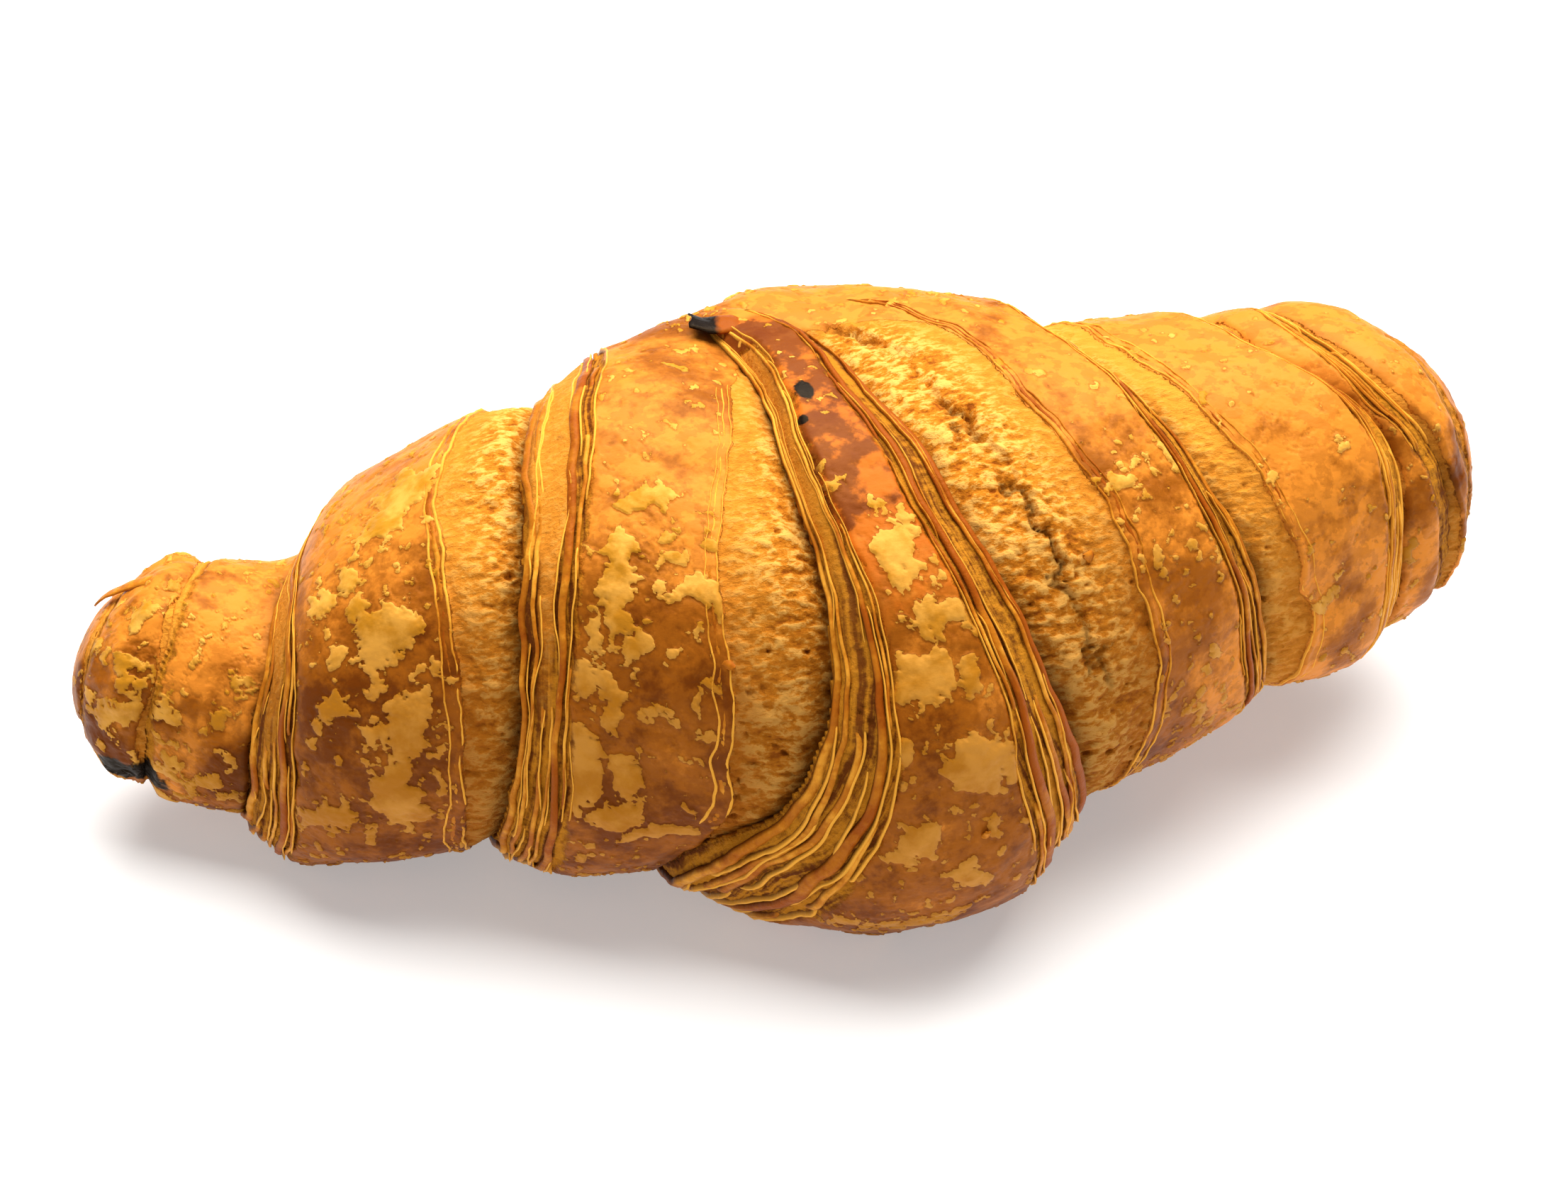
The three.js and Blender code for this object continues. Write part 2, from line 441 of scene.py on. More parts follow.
                    value_fold = value_crumb / np.maximum(width, 0.5)
                    value_wide = smoothstep(width, 8.5, 11)
                for target, value in (
                    (lift, value_lift), (slide, value_slide), (across, from_edge),
                    (stripe, band - from_edge), (crumb, value_crumb), (fold, value_fold),
                    (wide, value_wide), (crease, value_crease),
                ):
                    target[here] = value[here]
                lap_number[here] = lap
        return Patch(*out)

    def patch(self, along: np.ndarray, turn: np.ndarray) -> Patch:
        """Describes the dough at many places.

        Args:
            along: from the left horn to the right.
            turn: degrees round the roll, -90 to 270.

        Returns:
            What the dough is like there.
        """
        past = smoothstep(turn, self.point_turn - self.point_taper, self.point_turn)
        return self._below(along, turn, 0).mixed(self._below(along, turn, 1), past)

    def offset(self) -> np.ndarray:
        """Works out the move that puts the roll in the CAD model's box.

        Returns:
            The move, mm.
        """
        along, turn = np.meshgrid(
            np.linspace(self.left_end, self.right_end, 160), np.arange(-90, 270, 4), indexing="ij"
        )
        along, turn = along.ravel(), turn.ravel()
        points = self.point(along, turn, self.patch(along, turn).lift)
        low, high = points.min(axis=0), points.max(axis=0)
        box_low, box_high = (np.array(corner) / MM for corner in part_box(NODE))
        move = (box_low + box_high - low - high) / 2
        move[2] = box_low[2] - low[2]
        return move


# ---------------------------------------------------------------------------------------------
# Building meshes
# ---------------------------------------------------------------------------------------------


def finished_piece(name: str, mesh: bpy.types.Mesh, material: bpy.types.Material) -> bpy.types.Object:
    """Puts a finished mesh in the scene, on the croissant's one body.

    Args:
        name: the piece's name.
        mesh: its mesh, in metres, with its place in it.
        material: its finish.

    Returns:
        The new object.
    """
    mesh.materials.append(material)
    mesh.polygons.foreach_set("use_smooth", np.ones(len(mesh.polygons), dtype=bool))
    piece = bpy.data.objects.new(name, mesh)
    bpy.context.scene.collection.objects.link(piece)
    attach(piece, BODY)
    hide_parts(NODE)
    return piece


def add_field(mesh: bpy.types.Mesh, name: str, values: np.ndarray) -> None:
    """Stores one number per vertex for the material to read."""
    mesh.attributes.new(name, "FLOAT", "POINT").data.foreach_set("value", values.astype(np.float32))


def places(mesh: bpy.types.Mesh) -> np.ndarray:
    """Reads where every vertex is.

    Args:
        mesh: the mesh to read.

    Returns:
        n by 3 places, in the mesh's own units.
    """
    flat = np.empty(len(mesh.vertices) * 3)
    mesh.vertices.foreach_get("co", flat)
    return flat.reshape(-1, 3)


def drums(name: str, count: int, rows: int, sides: int) -> tuple[bpy.types.Mesh, np.ndarray]:
    """Makes closed drums side by side, to be bent into shape by moving their vertices.

    Args:
        name: the mesh's name.
        count: how many drums.
        rows: how many rings of vertices each has.
        sides: how many vertices a ring has.

    Returns:
        The mesh, and for each vertex its drum, its row and its angle in degrees.
    """
    apart = 4.0
    shell = bmesh.new()
    for n in range(count):
        bmesh.ops.create_cone(
            shell, cap_ends=True, cap_tris=False, segments=sides, radius1=1.0, radius2=1.0,
            depth=float(rows - 1), matrix=Matrix.Translation((apart * n, 0, (rows - 1) / 2)),
        )
    uprights = [e for e in shell.edges if abs(e.verts[0].co.z - e.verts[1].co.z) > 0.5]
    bmesh.ops.subdivide_edges(shell, edges=uprights, cuts=rows - 2, use_grid_fill=True)
    mesh = bpy.data.meshes.new(name)
    shell.to_mesh(mesh)
    shell.free()
    at = places(mesh)
    drum = np.rint(at[:, 0] / apart)
    angle = np.degrees(np.arctan2(at[:, 1], at[:, 0] - apart * drum))
    return mesh, np.stack([drum, np.rint(at[:, 2]), angle])


# ---------------------------------------------------------------------------------------------
# The crust
# ---------------------------------------------------------------------------------------------


@dataclass
class Blister:
    """A thin pale skin that steam has lifted off the crust."""

    along: float  # where it is on the roll
    turn: float
    half_length: float  # mm along the roll
    half_girth: float  # mm round it


# The largest blisters, each in the order of a Blister's fields. The small ones come from grain.
BLISTERS = [Blister(*row) for row in (
    (-0.52, 84, 3.6, 3.2), (-0.55, 76, 2.4, 2.6), (-0.53, 40, 3.2, 3.4), (-0.56, 49, 1.3, 1.3),
    (-0.57, 61, 1.1, 2.4), (-0.61, 57, 1.5, 2.1), (-0.59, 39, 1.3, 1.6), (-0.58, 23, 1.6, 1.9),
    (-0.5, 16, 2.4, 3.4), (-0.54, 28, 1.0, 1.0), (-0.54, 16, 1.5, 1.5), (-0.52, -3, 2.1, 4.5),
    (-0.6, -5, 3.0, 2.4), (-0.57, 72, 0.8, 1.3), (-0.21, 64, 2.3, 1.9), (-0.24, 64, 1.1, 1.1),
    (-0.24, 51, 1.6, 3.4), (-0.26, 44, 1.6, 1.8), (-0.19, 56, 1.1, 0.8), (-0.19, 51, 1.3, 1.1),
    (-0.15, 53, 0.8, 0.8), (-0.18, 43, 2.6, 1.7), (-0.15, 41, 1.2, 2.2), (-0.29, 36, 1.1, 1.9),
    (-0.26, 37, 1.1, 2.1), (-0.24, 33, 1.1, 1.1), (-0.3, 26, 1.5, 1.3), (-0.27, 22, 1.5, 3.7),
    (-0.23, 18, 1.0, 1.1), (-0.26, 4, 1.8, 2.1), (-0.31, 8, 1.9, 4.9), (-0.27, -5, 2.9, 1.6),
    (-0.22, -12, 4.0, 1.6), (0.06, 51, 2.4, 4.0), (0.08, 39, 2.4, 2.4), (0.06, 29, 2.4, 3.7),
    (0.11, 27, 1.5, 2.4), (0.11, 13, 2.8, 3.7), (0.03, 15, 1.2, 3.2), (0.04, -1, 2.4, 2.9),
    (0.15, 11, 1.0, 2.4), (0.06, -29, 3.6, 1.6), (0.11, -10, 1.9, 1.6), (0.37, 53, 2.0, 1.5),
    (0.45, 58, 2.0, 3.1), (0.39, 34, 0.6, 2.8), (0.43, 33, 1.1, 1.1), (0.44, 90, 3.2, 1.6),
    (-0.86, 69, 1.6, 1.3), (-0.82, 78, 1.3, 1.3), (-0.87, 39, 1.1, 1.6), (-0.83, 38, 1.1, 1.1),
    (-0.91, 58, 1.1, 1.5),
)]


@dataclass
class Crust:
    """The croissant's whole outside: its laps, torn crumb, cut layers and blisters."""

    roll: Roll
    material: bpy.types.Material
    rows: int = 760
    faces_round: int = 560
    end_crowding: float = 0.45  # how much closer the rows lie at the horns' ends
    front_crowding: float = 20.0  # degrees by which columns shift towards the one below
    front_turn: float = 50.0  # the turn that faces up and forwards
    wander_by: float = 0.8  # mm that the cut edges stray, either way
    blister_skin: float = 0.15  # mm that a lifted skin stands off the crust
    rim: float = 0.24  # mm that the skin curls up where it has torn
    names: tuple[str, ...] = (
        "left_horn", "left_laps", "left_middle", "right_middle", "right_laps", "right_horn",
    )

    def _shares(self) -> np.ndarray:
        """Spaces the rows evenly in the middle and closer towards both horns' ends."""
        even = np.linspace(-1, 1, self.rows)
        return (1 - self.end_crowding) * even + self.end_crowding * np.sin(even * math.pi / 2)

    def _turns(self) -> np.ndarray:
        """Spaces the columns closer on the front and top than at the back and underneath."""
        off = np.radians(np.arange(self.faces_round) * 360.0 / self.faces_round - 90.0 - self.front_turn)
        return np.degrees(off) + self.front_turn - self.front_crowding * (np.sin(off) - np.sin(off[0]))

    def ground(self, along: np.ndarray, turn: np.ndarray) -> tuple[Patch, np.ndarray, np.ndarray]:
        """Finds the crust at many places, before its fine relief.

        Args:
            along: from the left horn to the right.
            turn: degrees round the roll.

        Returns:
            What the dough is like there, how far it stands off the smooth roll in mm, and the
            places in mm before the move to the CAD model's box.
        """
        patch = self.roll.patch(along + self.wander(along, turn) / self.roll.half_span, turn)
        base = self.roll.point(along, turn, patch.lift)
        # The top has sunk a little behind the left horn and all along the right laps.
        sag = 1.8 * hump(along + 0.55, 0.1) * hump(turn - 105, 50)
        sag = sag + 1.1 * smoothstep(along, 0.36, 0.5) * hump(turn - 100, 55)
        return patch, patch.lift - sag + 1.1 * Grain(3).rough(base, 16.0, 3), base

    def wander(self, along: np.ndarray, turn: np.ndarray) -> np.ndarray:
        """How far the cut edges stray along the roll, mm."""
        flat = self.roll.point(along, turn, np.zeros_like(along))
        return Grain(1).rough(flat, 11.0, 3) * self.wander_by

    @staticmethod
    def tear(base: np.ndarray) -> np.ndarray:
        """How far the torn border of the crumb strays, mm."""
        return Grain(5).rough(base, 8.0, 4, 0.45)

    def _blisters(self, along: np.ndarray, turn: np.ndarray, base: np.ndarray) -> np.ndarray:
        """Lays blisters over the crust.

        Args:
            along: from the left horn to the right.
            turn: degrees round the roll.
            base: the same places, n by 3, mm.

        Returns:
            How far inside a lifted skin each place is, mm; below 0 outside every one.
        """
        ragged = Grain(11).rough(base, 2.0, 5, 0.72)
        low = smoothstep(-turn, -75, -30)
        front = smoothstep(along, -0.7, -0.62) * smoothstep(-along, -0.28, -0.2)
        front = front * smoothstep(turn, -25, -5) * smoothstep(-turn, -90, -70)
        horn = smoothstep(-along, 0.68, 0.76)
        patches = Grain(12).rough(base, 4.0, 5, 0.62) * 2.6 - 1.45 + 0.4 * low - 0.9 * front + 0.5 * horn
        specks = Grain(13).rough(base, 1.8, 4, 0.55) * 1.5 - 0.56 + 0.08 * low
        specks = specks - 0.3 * smoothstep(along, 0.5, 0.7)
        found = np.maximum(patches, specks)
        reach = self.roll.radius(along)
        swirl = [Grain(seed).rough(base, 4.0, 3, 0.6) * 2.0 for seed in (33, 34)]
        for one in BLISTERS:
            near = np.abs(along - one.along) < 0.16
            if not near.any():
                continue
            # A small blister is bent and ragged less than a large one, or it would break up.
            size = math.sqrt(one.half_length * one.half_girth)
            bent = 1.1 * min(1.0, size / 1.6)
            rag = 1.35 * min(1.0, size / 2.2)
            dx = (along[near] - one.along) * self.roll.half_span + bent * swirl[0][near]
            dy = np.radians(turn[near] - one.turn) * reach[near] + bent * swirl[1][near]
            dx, dy = dx / one.half_length, dy / one.half_girth
            inside = (1 - np.sqrt(dx * dx + dy * dy)) * size
            found[near] = np.maximum(found[near], 0.9 * inside - 0.2 + rag * ragged[near])
        return found

    @staticmethod
    def _crumb(base: np.ndarray) -> np.ndarray:
        """Shapes the torn crumb.

        Args:
            base: n by 3 places, mm.

        Returns:
            Its relief, mm.
        """
        folds = Grain(7).rough(drawn_out(base, 0.8), 3.0, 5, 0.66) * 0.42
        step = Grain(15).rough(drawn_out(base, 0.8), 5.0, 4, 0.6) * 2.2
        part = step - np.floor(step)
        ledges = smoothstep(part, 0, 0.2) - part
        shreds = Grain(6).rough(drawn_out(base, 0.45), 0.8, 2)
        near = Grain(16).cells(base + 0.8 * folds[:, None], 1.9)
        pits = smoothstep(-near, -0.27, -0.1) * smoothstep(Grain(17).smooth(base, 6.0), 0.0, 0.25)
        return folds + 0.2 * ledges + 0.3 * shreds - 0.6 * pits

    @staticmethod
    def _toast_and_shade(
        along: np.ndarray, turn: np.ndarray, base: np.ndarray, side: np.ndarray, last_lap: np.ndarray
    ) -> np.ndarray:
        """Finds how brown the skin is, from the oven and from painted shade and light: darker low on the
        sides than on top, paler towards the horns.

        Args:
            along: from the left horn to the right.
            turn: degrees round the roll.
            base: the same places, n by 3, mm.
            side: 1 low on the sides, 0 on top.
            last_lap: 1 on the outermost lap, 0 elsewhere.

        Returns:
            From about 0.2, where it is golden, to about 1, where it is brown.
        """
        left_horn, right_end = smoothstep(-along, 0.68, 0.78), smoothstep(along, 0.5, 0.7)
        under = smoothstep(-np.sin(np.radians(turn)), 0.86, 0.99)
        # The side term is painted shade, and the horns' paleness is partly painted light.
        return (
            0.22 + 0.72 * side - 0.42 * Crust._horns(along)
            + Grain(10).rough(base, 14.0, 4, 0.55) * 0.55
            - 0.22 * last_lap * smoothstep(-turn, -40, -20)
            + 0.3 * smoothstep(turn, 50, 72) * hump(along + 0.16, 0.12)
            + 0.4 * hump(along - 0.45, 0.07) * hump(turn - 52, 24)
            - 0.35 * smoothstep(along, 0.34, 0.5) * smoothstep(-turn, -50, -5)
            + left_horn * (0.22 + 1.1 * Grain(14).rough(base, 4.5, 3))
            + right_end * (0.12 + 1.0 * Grain(14).rough(base, 6.0, 3))
            + 0.35 * under
        )

    def _burnt(self, along: np.ndarray, turn: np.ndarray, last_lap: np.ndarray) -> np.ndarray:
        """Finds what the oven has burnt: two drops, the triangle's point and the left horn's foot.

        Args:
            along: from the left horn to the right.
            turn: degrees round the roll.
            last_lap: 1 on the outermost lap, 0 elsewhere.

        Returns:
            About 1 where it is black, and 0 or less where it isn't burnt.
        """
        gap = (along - 0.001) * self.roll.half_span
        spot = 1.1 - np.hypot(gap / 1.25, (turn - 84 + 0.9 * gap) / 3.0)
        drop = 1.1 - np.hypot((gap + 1.0) / 0.7, (turn - 77.5) / 1.5)
        point = last_lap * smoothstep(turn, 112, 121)
        foot = 0.95 * hump(along + 0.88, 0.05) * hump(turn + 24, 14)
        return np.maximum.reduce([spot, drop, point, foot])

    @staticmethod
    def _horns(along: np.ndarray) -> np.ndarray:
        """Rises to 1 towards both horns."""
        return smoothstep(-along, 0.66, 0.8) + smoothstep(along, 0.3, 0.6)

    def fields(self, along: np.ndarray, turn: np.ndarray) -> tuple[np.ndarray, dict[str, np.ndarray]]:
        """Shapes the crust at many places.

        Args:
            along: from the left horn to the right.
            turn: degrees round the roll.

        Returns:
            The places in mm before the move to the CAD model's box, and the fields that the
            material reads.
        """
        patch, height, base = self.ground(along, turn)
        fine = Grain(4).rough(base, 3.0, 4, 0.6)
        torn = patch.crumb + self.tear(base)
        striped = patch.stripe + fine * 0.5
        in_crumb = smoothstep(torn, -0.12, 0.18)
        in_stripe = smoothstep(striped, -0.3, 0.5)
        in_skin = (1 - in_crumb) * (1 - in_stripe)
        side = 1 - smoothstep(-np.abs(turn - 95), -85, -25)

        # The crumb is a sponge where it has torn wide open or faces the tray, and drawn flat elsewhere.
        open_up = np.maximum(0.9 * side, smoothstep(torn, 0.8, 6.0))
        sponge = self._crumb(base) * (0.4 + 0.6 * open_up)

        # Shaggy crumb fills the middle of the band of cut layers, high up on the left half.
        share = patch.across / np.maximum(patch.across + patch.stripe, 0.5)
        shaggy = 0.14 + 0.22 * smoothstep(turn, 45, 70)
        filling = smoothstep(hump(share - 0.43, shaggy), 0.3, 0.6) * smoothstep(turn, 5, 45)
        filling = filling * smoothstep(-along, -0.02, 0.06)

        # Where the crumb is wide it has split again, leaving a ragged ledge along its middle.
        split = patch.fold + 0.17 * fine
        parted = patch.wide * smoothstep(Grain(19).smooth(base, 8.0), -0.2, 0.12)
        ledge = 0.35 * parted * hump(split - 0.42, 0.07) - 0.45 * parted * hump(split - 0.55, 0.03)
        ledge = ledge - 0.5 * patch.wide * smoothstep(split, 0.46, 0.56)
        # Painted shade down in the split, laid on with the creases' shade.
        crack_shade = 0.9 * parted * hump(split - 0.55, 0.03)

        # The skin is smooth, with thin lifted blisters on it and a rim where it has torn.
        blister = self._blisters(along, turn, base)
        lifted = smoothstep(blister, -0.04, 0.16)
        dome = smoothstep(blister, 0.1, 1.8)
        skin_lift = (
            0.10 * fine * (1 - 0.8 * lifted) + self.blister_skin * lifted * (1 + dome)
            - 0.08 * hump(blister + 0.2, 0.2)
            + self.rim * hump(torn + 0.45, 0.4) * (0.25 + 0.75 * side)
        )
        tips = smoothstep(-along, 0.74, 0.9) + smoothstep(along, 0.8, 0.95)
        wrinkle = Grain(9).rough(drawn_out(base, 0.4), 3.4, 3) * tips
        relief = (
            height + in_crumb * (sponge - 0.15 - 0.25 * side + ledge)
            + in_stripe * (1 - in_crumb) * (0.6 * sponge - 0.5 + 0.45 * filling)
            + in_skin * skin_lift + 0.9 * wrinkle
        )
        points = self.roll.point(along + patch.slide / self.roll.half_span, turn, relief)

        # Painted shade darkens the creases in places, fainter at the horns. The last lap's end is ruddy.
        last_lap = smoothstep(-patch.lap, -0.6, -0.1)
        deep = 0.5 + 0.8 * smoothstep(Grain(18).smooth(base, 7.0), -0.2, 0.3)
        deep = deep * (1 - 0.75 * smoothstep(-along, 0.74, 0.8)) * (1 - 0.4 * smoothstep(along, 0.5, 0.7))
        ruddy = last_lap * (
            smoothstep(turn + 14 * fine, 28, 62) + 1.2 * smoothstep(turn, 88, 104)
            + 1.1 * smoothstep(turn, 50, 66) * hump(patch.across - 3.0, 2.6)
        )
        return points, {
            "crumb": torn,
            "stripe": striped,
            "across": patch.across,
            "filling": filling,
            "crease": np.maximum(patch.crease**1.15 * deep, crack_shade * in_crumb),
            "blister": np.where(in_crumb > 0.5, -1.0, blister),
            "toast_and_shade": self._toast_and_shade(along, turn, base, side, last_lap),
            # How much painted shade the material lays on low on the sides, less towards the horns.
            "side": side * (1 - 0.5 * self._horns(along)),
            "open": open_up,
            "horns": self._horns(along),
            "sponge": sponge,
            "ruddy": ruddy,
            "char": self._burnt(along, turn, last_lap) + 0.45 * fine,
        }

    def build(self) -> list[bpy.types.Object]:
        """Builds the crust's pieces.

        Returns:
            The pieces, from the left horn to the right.
        """
        shares = self._shares()
        along_rows = np.where(shares < 0, -shares * self.roll.left_end, shares * self.roll.right_end)
        along, turn = np.meshgrid(along_rows, self._turns(), indexing="ij")
        points, shown = self.fields(along.ravel(), turn.ravel())
        points = (points + self.roll.offset()) * MM
        points[:, 2] = np.maximum(points[:, 2], 0)
        # The normals are worked out over the whole crust, so that no seam shows between pieces.
        grid = points.reshape(self.rows, self.faces_round, 3)
        round_way = np.roll(grid, -1, axis=1) - np.roll(grid, 1, axis=1)
        long_way = np.gradient(grid, axis=0)
        normals = np.cross(round_way, long_way).reshape(-1, 3)
        normals /= np.maximum(np.linalg.norm(normals, axis=1, keepdims=True), 1e-12)
        cuts = np.linspace(0, self.rows - 1, len(self.names) + 1).round().astype(int)
        pieces = []
        for name, first, last in zip(self.names, cuts[:-1], cuts[1:]):
            mesh, (_, row, angle) = drums(name, 1, last - first + 1, self.faces_round)
            column = np.rint(angle * self.faces_round / 360) % self.faces_round
            index = ((row + first) * self.faces_round + column).astype(int)
            mesh.vertices.foreach_set("co", points[index].ravel())
            for field_name, values in shown.items():
                add_field(mesh, field_name, values[index])
            mesh.update()
            pieces.append(finished_piece(name, mesh, self.material))
            mesh.normals_split_custom_set_from_vertices(normals[index])
        return pieces


# ---------------------------------------------------------------------------------------------
# Sheets along the cut edges, and loose flakes
# ---------------------------------------------------------------------------------------------


class Run(Enum):
    """What a strand runs along."""

    CUT = "the band of cut layers behind the edge"
    LOW = "the same band, but only low down"
    HEM = "the torn edge of the skin below the crumb"


@dataclass(frozen=True)
class Strand:
    """One thin sheet of dough, seen edge on, that runs along a cut edge."""

    place: float  # how far across the band it lies, 0 to 1, or how far past the torn edge, mm
    width: float  # mm
    height: float  # how far it stands off the crust, mm
    pale: float  # 1 where it is dry and pale, 0 where it is brown
    run: Run = Run.CUT


STRANDS = (
    Strand(0.1, 1.0, 0.24, 0.32), Strand(0.17, 0.25, 0.28, 0.75), Strand(0.23, 0.6, 0.12, 0.35),
    Strand(0.28, 0.26, 0.22, 0.85), Strand(0.37, 0.7, 0.1, 0.3, Run.LOW),
    Strand(0.46, 0.28, 0.16, 0.9, Run.LOW), Strand(0.54, 0.45, 0.1, 0.5, Run.LOW),
    Strand(0.62, 0.24, 0.18, 0.85),
    Strand(0.72, 1.05, 0.2, 0.12), Strand(0.82, 0.24, 0.28, 0.9), Strand(0.89, 0.5, 0.12, 0.4),
    Strand(0.97, 0.26, 0.26, 0.8),
    Strand(0.2, 0.4, 0.34, 0.75, Run.HEM), Strand(0.8, 0.65, 0.18, 0.3, Run.HEM),
    Strand(1.4, 0.32, 0.24, 0.65, Run.HEM),
)


@dataclass
class CutSheets:
    """The sheets of dough that show along one cut edge, from the triangle's point to the horn."""

    name: str
    crust: Crust
    edge: CutEdge
    inward: float  # 1 where the lap lies towards +X of its edge, -1 where it lies towards -X
    material: bpy.types.Material
    first_turn: float = 119.0
    last_turn: float = -1050.0
    rows: int = 940
    sides: int = 6
    sunk: float = 0.1  # mm that the sheets' feet lie in the crust
    off_tray: float = 0.4  # mm that they keep above the floor

    def _course(self, number: int, strand: Strand) -> tuple[np.ndarray, np.ndarray, np.ndarray]:
        """Finds a strand's way round the roll.

        Args:
            number: which strand it is, which picks how it strays.
            strand: the strand.

        Returns:
            For each row, where the strand lies along the roll, how wide it is as a share of its
            width, and how high, 0 where it dives under.
        """
        roll = self.crust.roll
        run = np.linspace(self.first_turn, self.last_turn, self.rows)
        turn = one_lap(run)
        lap = np.rint((turn - run) / 360)
        line = np.stack([run * 0.5, np.full_like(run, 31.0 * number), np.full_like(run, self.inward)], 1)
        loose = 1.4 if strand.width < 0.4 else 0.8
        stray = loose * Grain(21).smooth(line, 13.0) + 0.16 * Grain(22).smooth(line, 2.6)
        band = self.edge.stripes(run)
        thin = np.clip(band / 6.5, 0.3, 1.15)
        if strand.run is Run.HEM:
            reach = -self.edge.crumb(run) - strand.place - 0.45 * stray
        else:
            reach = strand.place * band + stray * thin
        edge_along = self.edge.along(run)
        along = edge_along + self.inward * reach / roll.half_span
        # The edge strays by where the strand itself lies, so its way is found in three goes.
        for _ in range(3):
            shift = -self.crust.wander(along, turn)
            if strand.run is Run.HEM:
                base = roll.point(along, turn, np.zeros_like(along))
                shift -= self.inward * self.crust.tear(base)
            along = edge_along + (self.inward * reach + shift) / roll.half_span
        there = smoothstep(Grain(23).smooth(line, 14.0), -0.2, -0.05)
        if strand.run is Run.HEM:
            patch, _, _ = self.crust.ground(along, turn)
            fits = (np.abs(patch.lap - lap - 1) < 0.3) & (patch.stripe < -0.3)
            room = smoothstep(self.edge.crumb(run), 1.6, 2.6) * fits
            there = np.convolve(room, np.ones(9) / 9, mode="same") ** 2
        elif strand.run is Run.LOW:
            there = there * smoothstep(-turn, -35, -10)
        elif strand.width > 0.8:
            there = np.ones_like(run)
        return along, thin, there

    def build(self) -> bpy.types.Object:
        """Builds the sheets as one piece.

        Returns:
            The piece.
        """
        mesh, (which, row, angle) = drums(self.name, len(STRANDS), self.rows, self.sides)
        which, row = which.astype(int), row.astype(int)
        courses = [np.stack(self._course(n, strand)) for n, strand in enumerate(STRANDS)]
        along, thin, there = np.stack(courses)[which, :, row].T
        # Near the right horn the sheets are lower and paler, with less painted shade at their feet.
        near_right_horn = smoothstep(along, 0.5, 0.7)
        width = np.array([s.width for s in STRANDS])[which]
        height = np.array([s.height for s in STRANDS])[which] * (1 - 0.45 * near_right_horn)
        pale = np.array([s.pale for s in STRANDS])[which]
        run = np.linspace(self.first_turn, self.last_turn, self.rows)[row]
        turn = one_lap(run)
        ends = smoothstep(row, 0, 6) * smoothstep(self.rows - 1 - row, 0, 6)
        patch, ground, base = self.crust.ground(along, turn)
        ragged = 1 + 0.9 * Grain(24).rough(base + 7.7 * which[:, None], 1.6, 2)
        side, up = np.cos(np.radians(angle)), np.sin(np.radians(angle))
        rise = np.where(up > 0, up * height * ragged * there, up * 0.9) - 1.3 * (1 - there * ends)
        shoved = along + (patch.slide + side * width / 2 * thin * ends) / self.crust.roll.half_span
        points = self.crust.roll.point(shoved, turn, ground + rise - self.sunk)
        points = (points + self.crust.roll.offset()) * MM
        points[:, 2] = np.maximum(points[:, 2], self.off_tray * MM)
        mesh.vertices.foreach_set("co", points.ravel())
        last = smoothstep(run, 34, 70)
        outermost = (which == 0) & (self.inward < 0)
        tone = 0.7 * Grain(25).smooth(base, 5.0) - 0.5 * outermost * smoothstep(run, -60, 0)
        tone = tone + (0.14 + 0.4 * last if self.inward > 0 else 0.04 - 0.4 * last + 0.3 * near_right_horn)
        add_field(mesh, "pale", pale + tone)
        # How far a vertex is from the painted shade at the sheet's foot: 0 at the foot, 1 on top, and less
        # shade near the right horn.
        add_field(mesh, "top", np.clip(up + 0.4 * near_right_horn, 0, 1))
        add_field(mesh, "char", smoothstep(run, 108, 117) * 0.9)
        mesh.update()
        return finished_piece(self.name, mesh, self.material)


@dataclass(frozen=True)
class Flake:
    """A thin shard of skin that has come up off the crust."""

    along: float
    turn: float
    heading: float  # degrees: 0 points at the right horn, 90 up the front and over the top
    length: float  # mm
    width: float  # mm, at its root
    tip: float  # how wide its tip is next to its root
    curl: float  # mm that its tip stands off the crust
    pale: float  # 1 where it is dry and pale, 0 where it is brown
    burnt: float = 0.0  # 1 where its tip is burnt black


FLAKES = (
    Flake(-0.028, 110, 172, 6.6, 4.2, 0.85, 1.5, -0.3, 1.0),
    Flake(-0.83, 96, 178, 8.6, 2.6, 0.35, 2.4, 0.5),
    Flake(-0.03, 52, 200, 1.8, 1.0, 0.6, 0.6, 0.3),
    Flake(-0.15, 30, -30, 1.3, 1.4, 0.5, 0.4, 0.3),
    Flake(0.3, 40, 160, 1.4, 1.4, 0.4, 0.5, 0.4),
    Flake(0.12, -2, 80, 1.2, 1.0, 0.5, 0.4, 0.4),
    Flake(-0.37, 40, 10, 1.2, 1.2, 0.5, 0.4, 0.3),
    Flake(-0.2, 150, 150, 2.2, 2.0, 0.4, 0.5, 0.4),
    Flake(0.25, 165, 40, 2.0, 2.2, 0.4, 0.5, 0.4),
)


